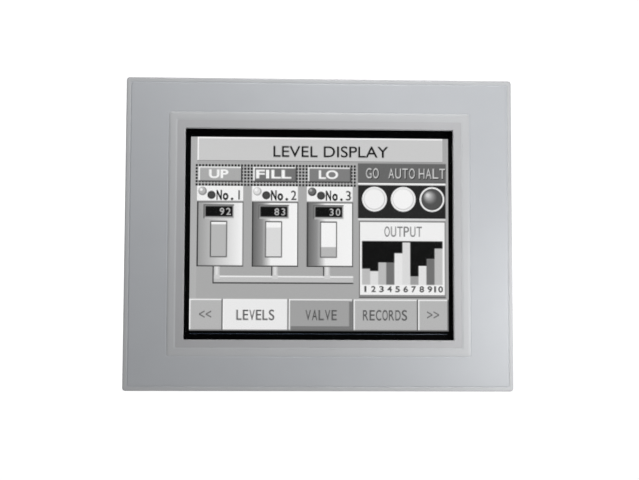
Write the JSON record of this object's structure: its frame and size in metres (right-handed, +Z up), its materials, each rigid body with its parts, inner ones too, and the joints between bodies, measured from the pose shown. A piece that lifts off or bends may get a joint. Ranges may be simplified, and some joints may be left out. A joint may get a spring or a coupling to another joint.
{
  "type": "operator touch panel",
  "caption": "Cabinet-door touch panel: flat bezel with a raised ring round the screen, gasket, deep vented rear case, side card door, bottom connectors and screw clamps.",
  "frame": {"origin": "centre of the door cut-out that the rear case passes through, in the plane where the gasket meets the door's front", "axes": "+X to the operator's right, +Y back through the door, +Z up"},
  "size_m": [0.171, 0.0598, 0.138],
  "materials": {
    "bezel_plastic": "finely textured light grey moulding",
    "case_plastic": "spark-textured dark grey moulding",
    "gasket_foam": "closed-cell foam",
    "touch_film": "clear hard-coated polyester film",
    "clear_glass": "clear float glass",
    "black_print": "black printed border",
    "lcd_picture": "lit monochrome dot picture",
    "light_guide": "clear acrylic with printed dots",
    "lamp_glass": "white phosphor-coated glass tube",
    "sheet_steel": "zinc-plated pressed sheet",
    "bright_steel": "bright nickel-plated",
    "white_plastic": "white moulding",
    "black_plastic": "black glass-filled moulding",
    "green_plastic": "green terminal block moulding",
    "circuit_board": "green solder mask on glass-fibre laminate",
    "ferrite": "dark grey ferrite",
    "amber_film": "amber polyimide film",
    "white_film": "white flat flexible cable",
    "lead_insulation": "silicone insulation"
  },
  "bodies": {
    "root": {"front_bezel": "bezel_plastic", "panel_gasket": "gasket_foam", "touch_glass": "clear_glass", "screen_mask": "black_print", "lcd_front_frame": "sheet_steel", "lcd_cell": "lcd_picture", "light_guide": "light_guide", "backlight_lamp": "lamp_glass", "lamp_reflector": "bright_steel", "lcd_rear_tray": "white_plastic", "support_chassis": "sheet_steel", "main_board": "circuit_board", "processor": "black_plastic", "backup_battery": "bright_steel", "buzzer": "black_plastic", "power_board": "circuit_board", "power_transformer": "ferrite", "bulk_capacitor": "black_plastic", "inverter_board": "circuit_board", "inverter_transformer": "ferrite", "display_ribbon": "white_film", "touch_tail": "amber_film", "lamp_lead": "lead_insulation", "rear_case": "case_plastic", "case_screw_1": "bright_steel", "case_screw_2": "bright_steel", "case_screw_3": "bright_steel", "case_screw_4": "bright_steel", "power_socket": "green_plastic", "serial_port": "bright_steel", "jack_post_1": "bright_steel", "jack_post_2": "bright_steel", "tool_port": "black_plastic", "ethernet_port": "bright_steel", "card_slot": "black_plastic", "door_hinge_pin": "bright_steel", "dip_switch": "black_plastic", "clamp_bracket_1": "bright_steel", "clamp_bracket_2": "bright_steel", "clamp_bracket_3": "bright_steel", "clamp_bracket_4": "bright_steel"},
    "touch_film": {"touch_film": "touch_film"},
    "clamp_pad_1": {"clamp_pad_1": "black_plastic"},
    "clamp_pad_2": {"clamp_pad_2": "black_plastic"},
    "clamp_pad_3": {"clamp_pad_3": "black_plastic"},
    "clamp_pad_4": {"clamp_pad_4": "black_plastic"},
    "clamp_screw_1": {"clamp_screw_1": "bright_steel"},
    "clamp_screw_2": {"clamp_screw_2": "bright_steel"},
    "clamp_screw_3": {"clamp_screw_3": "bright_steel"},
    "clamp_screw_4": {"clamp_screw_4": "bright_steel"},
    "card_door": {"card_door": "case_plastic"},
    "card_eject_button": {"card_eject_button": "white_plastic"},
    "dip_lever_1": {"dip_lever_1": "white_plastic"},
    "dip_lever_2": {"dip_lever_2": "white_plastic"},
    "dip_lever_3": {"dip_lever_3": "white_plastic"},
    "dip_lever_4": {"dip_lever_4": "white_plastic"},
    "power_plug": {"power_plug": "green_plastic"},
    "terminal_screw_1": {"terminal_screw_1": "bright_steel"},
    "terminal_screw_2": {"terminal_screw_2": "bright_steel"},
    "terminal_screw_3": {"terminal_screw_3": "bright_steel"}
  },
  "joints": [
    {"name": "touch_press", "type": "slide", "parent": "root", "child": "touch_film", "axis": [0, 1, 0], "range_m": [0, 0.0002], "stiffness_N_per_m": 1500},
    {"name": "clamp_travel_1", "type": "slide", "parent": "root", "child": "clamp_pad_1", "axis": [0, -1, 0], "range_m": [0, 0.0084]},
    {"name": "clamp_travel_2", "type": "slide", "parent": "root", "child": "clamp_pad_2", "axis": [0, -1, 0], "range_m": [0, 0.0084]},
    {"name": "clamp_travel_3", "type": "slide", "parent": "root", "child": "clamp_pad_3", "axis": [0, -1, 0], "range_m": [0, 0.0084]},
    {"name": "clamp_travel_4", "type": "slide", "parent": "root", "child": "clamp_pad_4", "axis": [0, -1, 0], "range_m": [0, 0.0084]},
    {"name": "clamp_turn_1", "type": "hinge", "parent": "clamp_pad_1", "child": "clamp_screw_1", "pos_m": [-0.05, 0.03, 0.0652], "axis": [0, -1, 0], "range_deg": [0, 4320]},
    {"name": "clamp_turn_2", "type": "hinge", "parent": "clamp_pad_2", "child": "clamp_screw_2", "pos_m": [0.05, 0.03, 0.0652], "axis": [0, -1, 0], "range_deg": [0, 4320]},
    {"name": "clamp_turn_3", "type": "hinge", "parent": "clamp_pad_3", "child": "clamp_screw_3", "pos_m": [0.0435, 0.03, -0.0652], "axis": [0, -1, 0], "range_deg": [0, 4320]},
    {"name": "clamp_turn_4", "type": "hinge", "parent": "clamp_pad_4", "child": "clamp_screw_4", "pos_m": [-0.0435, 0.03, -0.0652], "axis": [0, -1, 0], "range_deg": [0, 4320]},
    {"name": "card_door_swing", "type": "hinge", "parent": "root", "child": "card_door", "pos_m": [0.0765, 0.0265, 0.007], "axis": [0, 0, -1], "range_deg": [0, 95]},
    {"name": "card_eject_press", "type": "slide", "parent": "root", "child": "card_eject_button", "axis": [-1, 0, 0], "range_m": [0, 0.004]},
    {"name": "dip_lever_slide_1", "type": "slide", "parent": "root", "child": "dip_lever_1", "axis": [0, 1, 0], "range_m": [0, 0.0022]},
    {"name": "dip_lever_slide_2", "type": "slide", "parent": "root", "child": "dip_lever_2", "axis": [0, 1, 0], "range_m": [0, 0.0022]},
    {"name": "dip_lever_slide_3", "type": "slide", "parent": "root", "child": "dip_lever_3", "axis": [0, 1, 0], "range_m": [0, 0.0022]},
    {"name": "dip_lever_slide_4", "type": "slide", "parent": "root", "child": "dip_lever_4", "axis": [0, 1, 0], "range_m": [0, 0.0022]},
    {"name": "power_plug_pull", "type": "slide", "parent": "root", "child": "power_plug", "axis": [0, 0, -1], "range_m": [0, 0.02]},
    {"name": "terminal_screw_turn_1", "type": "hinge", "parent": "power_plug", "child": "terminal_screw_1", "pos_m": [-0.06258, 0.038, -0.0475], "axis": [0, 1, 0], "range_deg": [0, 1440]},
    {"name": "terminal_screw_turn_2", "type": "hinge", "parent": "power_plug", "child": "terminal_screw_2", "pos_m": [-0.0575, 0.038, -0.0475], "axis": [0, 1, 0], "range_deg": [0, 1440]},
    {"name": "terminal_screw_turn_3", "type": "hinge", "parent": "power_plug", "child": "terminal_screw_3", "pos_m": [-0.05242, 0.038, -0.0475], "axis": [0, 1, 0], "range_deg": [0, 1440]}
  ],
  "couplings": [
    {"joint": "clamp_turn_1", "follows": "clamp_travel_1", "rad_per_m": 8976},
    {"joint": "clamp_turn_2", "follows": "clamp_travel_2", "rad_per_m": 8976},
    {"joint": "clamp_turn_3", "follows": "clamp_travel_3", "rad_per_m": 8976},
    {"joint": "clamp_turn_4", "follows": "clamp_travel_4", "rad_per_m": 8976}
  ]
}
